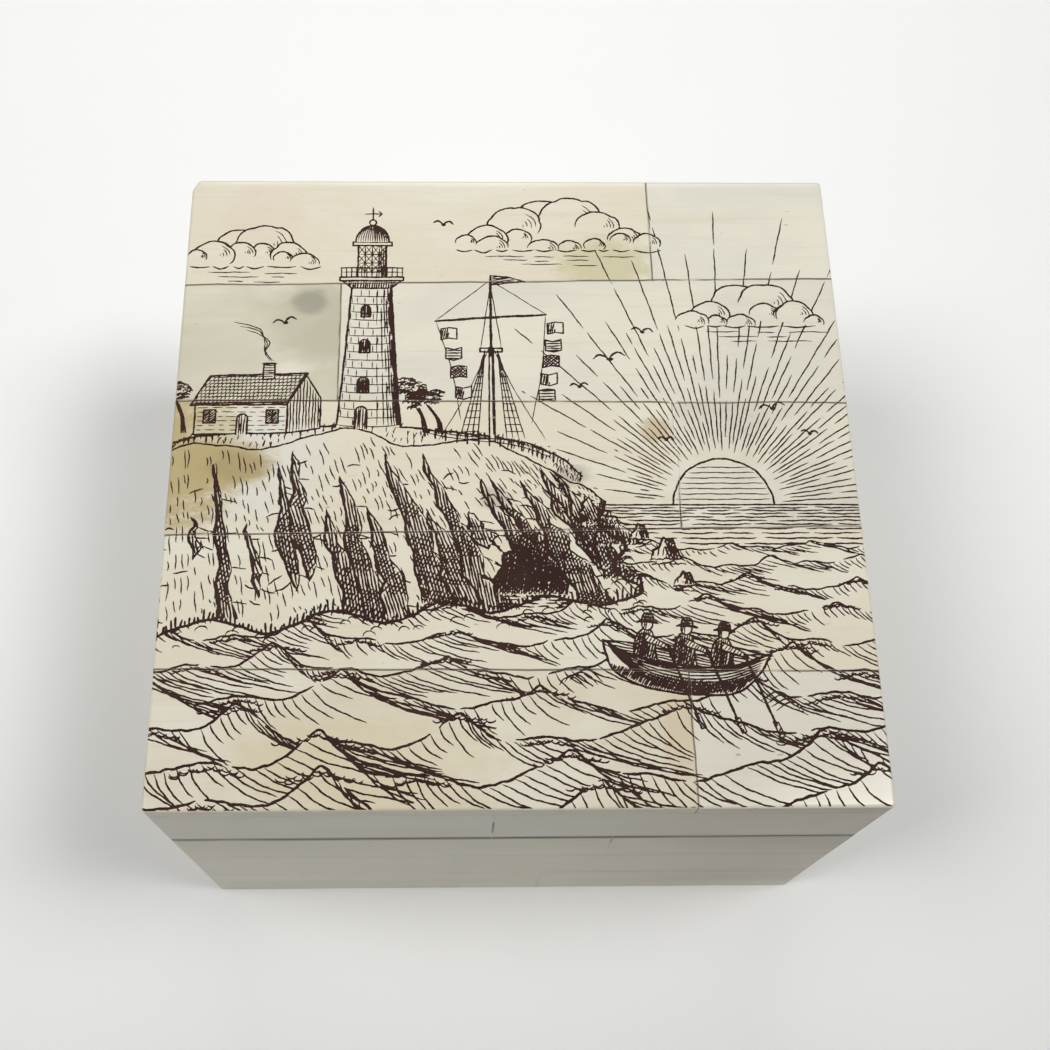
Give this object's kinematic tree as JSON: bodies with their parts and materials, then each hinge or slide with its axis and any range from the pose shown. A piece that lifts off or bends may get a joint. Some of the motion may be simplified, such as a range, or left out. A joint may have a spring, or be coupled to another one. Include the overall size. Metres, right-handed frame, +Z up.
{
  "type": "bone box with engraved lid",
  "caption": "Square lidded box faced with polished bone plates over wood, with an engraved and inked seascape across the lift-off lid.",
  "frame": {"origin": "middle of the underside, where the box stands", "axes": "+Z up through the lid, -Y towards the front, +X to the right of someone who faces the front"},
  "size_m": [0.096, 0.096, 0.0665],
  "materials": {
    "bone": "polished cream bone",
    "grey_bone": "polished greyish bone",
    "tan_bone": "polished bone with a tan stain",
    "wood": "bare smooth wood"
  },
  "bodies": {
    "root": {"base_carcass": "wood", "lid_carcass": "wood", "lid_top_row1_left": "bone", "lid_top_row1_right": "bone", "lid_top_row2_left": "grey_bone", "lid_top_row2_right": "bone", "lid_top_row3_left": "tan_bone", "lid_top_row3_right": "bone", "lid_top_row4": "bone", "lid_top_row5_left": "bone", "lid_top_row5_right": "bone", "lid_edging_front_left": "bone", "lid_edging_front_right": "bone", "lid_edging_right_left": "bone", "lid_edging_right_right": "bone", "lid_edging_back_left": "bone", "lid_edging_back_right": "bone", "lid_edging_left_left": "bone", "lid_edging_left_right": "bone", "base_front_row1_left": "bone", "base_front_row1_right": "bone", "base_front_row2_left": "bone", "base_front_row2_right": "bone", "base_front_row3_left": "bone", "base_front_row3_right": "bone", "base_right_row1_left": "bone", "base_right_row1_right": "bone", "base_right_row2_left": "bone", "base_right_row2_right": "bone", "base_right_row3_left": "bone", "base_right_row3_right": "bone", "base_back_row1_left": "bone", "base_back_row1_right": "bone", "base_back_row2_left": "bone", "base_back_row2_right": "bone", "base_back_row3_left": "bone", "base_back_row3_right": "bone", "base_left_row1_left": "bone", "base_left_row1_right": "bone", "base_left_row2_left": "bone", "base_left_row2_right": "bone", "base_left_row3_left": "bone", "base_left_row3_right": "bone"}
  },
  "joints": []
}
